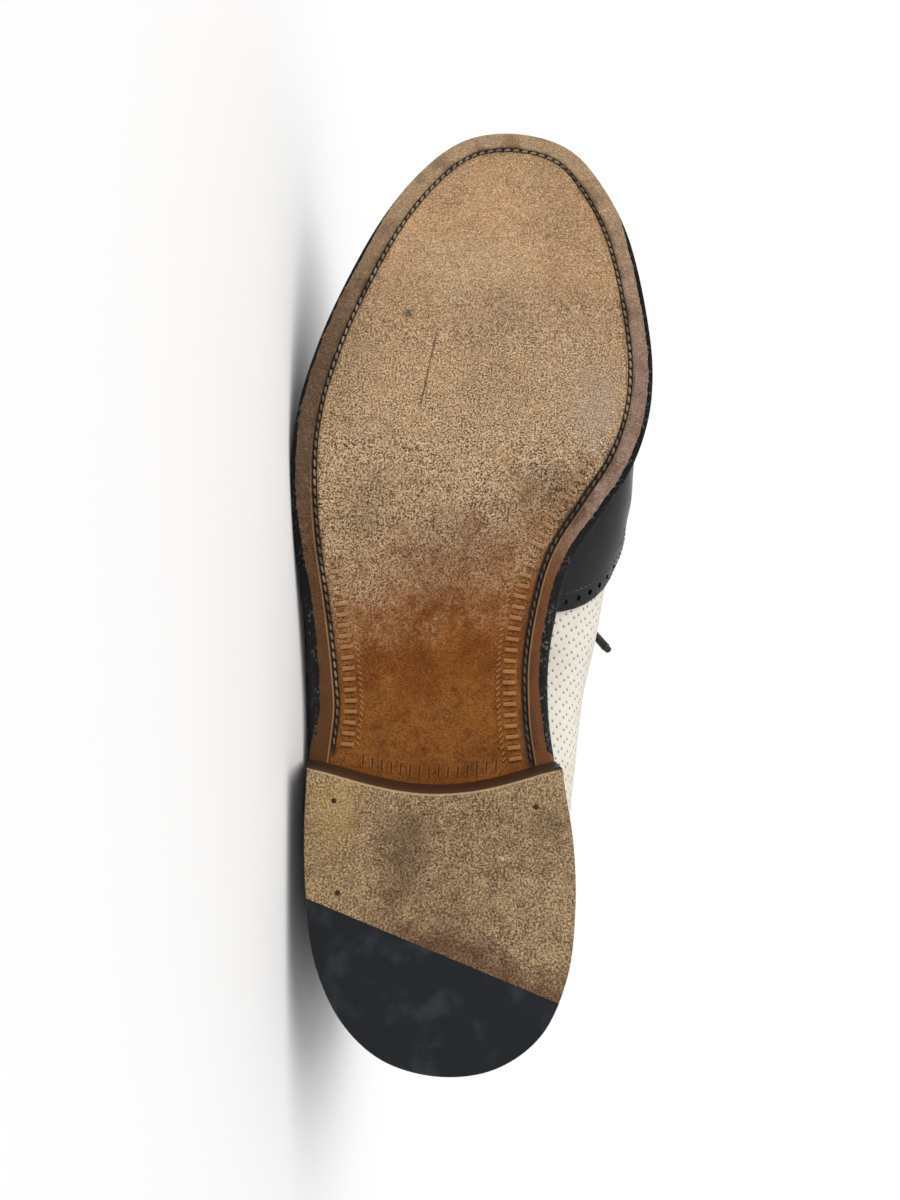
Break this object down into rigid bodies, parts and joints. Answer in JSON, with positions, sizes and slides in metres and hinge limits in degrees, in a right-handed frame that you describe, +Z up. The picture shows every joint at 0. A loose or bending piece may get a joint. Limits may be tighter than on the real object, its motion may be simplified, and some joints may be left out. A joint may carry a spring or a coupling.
{
  "type": "dress shoe",
  "caption": "Black and ivory wing-tip oxford for the right foot, lying on its outer side with its worn leather sole, stacked heel and rubber heel corner in view.",
  "frame": {"origin": "on the floor, under the middle of the lying shoe's box", "axes": "+X towards the heel, the sole faces -Y, +Z up through the shoe's inner side"},
  "size_m": [0.3012, 0.1156, 0.1148],
  "materials": {
    "sole_leather": "worn",
    "edge_leather": "satin",
    "heel_leather": "worn",
    "heel_rubber": "matte",
    "black_leather": "polished",
    "ivory_leather": "satin",
    "insole_leather": "satin",
    "lace_cotton": "matte"
  },
  "bodies": {
    "root": {"outsole": "sole_leather", "welt": "edge_leather", "heel_stack": "edge_leather", "top_piece": "heel_leather", "rubber_wedge": "heel_rubber", "insole": "insole_leather", "upper": "ivory_leather", "wing_cap": "black_leather", "heel_counter": "black_leather", "facing_inner": "black_leather", "facing_outer": "black_leather", "tongue": "black_leather", "lace_bar_1": "lace_cotton", "lace_bar_2": "lace_cotton", "lace_bar_3": "lace_cotton", "lace_bar_4": "lace_cotton", "lace_bar_5": "lace_cotton", "lace_end": "lace_cotton"}
  },
  "joints": []
}
